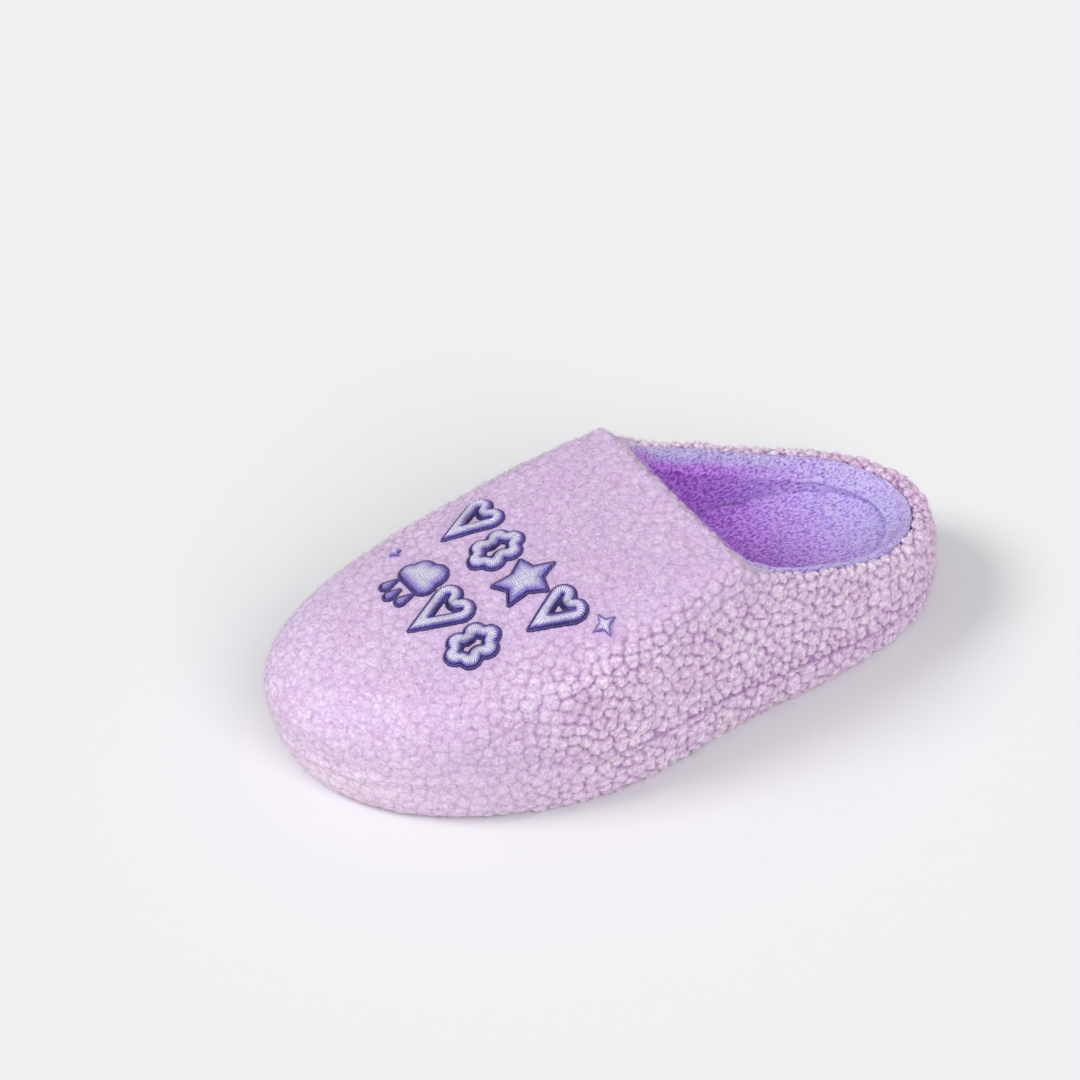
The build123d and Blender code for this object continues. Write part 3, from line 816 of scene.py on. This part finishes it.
# ---- Embroidery ------------------------------------------------------------------------------------
def raise_satin(node, material, slot, shape):
    """Puffs a flat CAD motif into a crowned run of stitches, low at its edges."""
    foot_share, crest_height = shape
    obj = dense_copy(node, node + "_stitches", STITCH_VOXEL, STITCH_ROUNDING)
    mesh = obj.data
    skin = surface_of("upper_shell")
    points = places(mesh)
    feet = [skin.find_nearest(Vector(p)) for p in points]
    foot = np.array([f[0] for f in feet])
    up = np.array([f[1] for f in feet])
    rise = ((points - foot) * up).sum(axis=1)
    full = np.percentile(rise, FLAT_TOP)
    low, high = WALL_HEIGHTS
    walls = foot[(rise > low * full) & (rise < high * full)]
    tree = point_tree(walls)
    inset = np.array([tree.find(p)[2] for p in foot])
    half = np.percentile(inset, WIDEST)
    crest = np.sqrt(np.clip(1 - (1 - np.clip(inset / half, 0, 1)) ** 2, 0, 1))
    height = foot_share * full + (crest_height - foot_share * full) * crest
    middle = foot.mean(axis=0)
    x, y = (foot - middle)[:, 0], (foot - middle)[:, 1]
    round_the_middle = "heart" in node or "flower" in node
    thread = np.arctan2(y, x) * np.hypot(x, y).mean() if round_the_middle else x
    move_to(mesh, points + up * (rise * (height / full - 1))[:, None])
    keep_value(mesh, "crest", crest)
    keep_value(mesh, "thread", thread / MM)
    finish_piece(obj, material, slot, node)


# ---- Stage -----------------------------------------------------------------------------------------
def make_camera():
    """Camera at the photograph's viewing angle, turned so that the slipper falls at the same place."""
    azimuth, elevation = math.radians(CAMERA_AZIMUTH), math.radians(CAMERA_ELEVATION)
    back = Vector((math.sin(azimuth) * math.cos(elevation), -math.cos(azimuth) * math.cos(elevation),
                   math.sin(elevation)))
    right = Vector((math.cos(azimuth), math.sin(azimuth), 0.0))
    up = back.cross(right)
    data = bpy.data.cameras.new("camera")
    data.lens = LENS
    data.sensor_width = SENSOR
    camera = bpy.data.objects.new("camera", data)
    width = CAMERA_DISTANCE * SENSOR / LENS
    target = Vector(AIM_POINT) - right * AIM_RIGHT * width + up * AIM_DOWN * width
    camera.location = Vector(AIM_POINT) + back * CAMERA_DISTANCE
    camera.rotation_euler = (target - camera.location).to_track_quat("-Z", "Y").to_euler()
    bpy.context.scene.collection.objects.link(camera)
    bpy.context.scene.camera = camera


def add_sun(name, turn, elevation, spread, power):
    """Distant soft light that stands a turn away from the camera, round the slipper."""
    data = bpy.data.lights.new(name, "SUN")
    data.angle = math.radians(spread)
    data.energy = power
    light = bpy.data.objects.new(name, data)
    turn, rise = math.radians(CAMERA_AZIMUTH + turn), math.radians(elevation)
    towards = Vector((math.sin(turn) * math.cos(rise), -math.cos(turn) * math.cos(rise), math.sin(rise)))
    light.rotation_euler = towards.to_track_quat("Z", "Y").to_euler()
    bpy.context.scene.collection.objects.link(light)


def make_stage():
    """Pale floor, soft world light, a key light from the left and a softer one from the camera's side."""
    floor = new_object("floor", bpy.data.meshes.new("floor"))
    signs = ((-1, -1), (1, -1), (1, 1), (-1, 1))
    corners = [(FLOOR_REACH * x, FLOOR_REACH * y, 0) for x, y in signs]
    floor.data.from_pydata(corners, [], [(0, 1, 2, 3)])
    material, _, _, shader = new_material("floor_paper")
    shader.inputs["Base Color"].default_value = (*FLOOR, 1.0)
    shader.inputs["Roughness"].default_value = 1.0
    shader.inputs["Specular IOR Level"].default_value = 0.0
    floor.data.materials.append(material)
    world = bpy.data.worlds.new("studio")
    world.use_nodes = True
    background = world.node_tree.nodes["Background"]
    background.inputs["Color"].default_value = (1.0, 1.0, 1.0, 1.0)
    background.inputs["Strength"].default_value = WORLD_STRENGTH
    bpy.context.scene.world = world
    add_sun("key", *KEY)
    add_sun("fill", *FILL)


# ---- Build -----------------------------------------------------------------------------------------
def make_fleece(lilac, violet):
    """The four fleece pieces, each with its loose fibres."""
    upper, upper_outer = make_upper(lilac)
    band, band_outer = make_band(lilac)
    lining = make_lining_piece(
        "upper_lining", "lining_fleece", "footbed_cover", LINING_ROUNDING, violet, LINING_SEED)
    cover = make_lining_piece(
        "footbed_cover", "footbed_fleece", "upper_lining", FOOTBED_ROUNDING, violet, FOOTBED_SEED)
    for source, outer in ((upper, upper_outer), (band, band_outer)):
        finish_piece(fuzz(source, OUTER_FIBRE, outer), lilac, "outer_fleece")
    for source in (lining, cover):
        finish_piece(fuzz(source, LINING_FIBRE), violet, "lining_fleece")


def make_embroidery():
    """Satin motifs and their dark borders."""
    satin = thread_material("satin_thread", *SATIN_LOOK)
    indigo = thread_material("border_thread", *BORDER_LOOK)
    for node in sorted(NODES):
        if node.startswith("satin_"):
            raise_satin(node, satin, "satin_thread", SATIN_SHAPE)
        elif node.startswith("border_"):
            raise_satin(node, indigo, "border_thread", BORDER_SHAPE)


def dress_plain_nodes():
    """Materials for the CAD nodes that stay as they are."""
    stock = {node: plain_material(*look) for node, look in STOCK.items()}
    sewing = plain_material(*SEWING)
    for node, obj in NODES.items():
        if node in stock or node.endswith("_thread"):
            obj.data.materials.clear()
            obj.data.materials.append(stock.get(node, sewing))


def main():
    """Stage, fleece, embroidery, and the plain nodes' materials."""
    bpy.context.scene.view_settings.view_transform = "Standard"
    make_camera()
    make_stage()
    make_fleece(lilac_fleece(), violet_fleece())
    make_embroidery()
    dress_plain_nodes()


main()
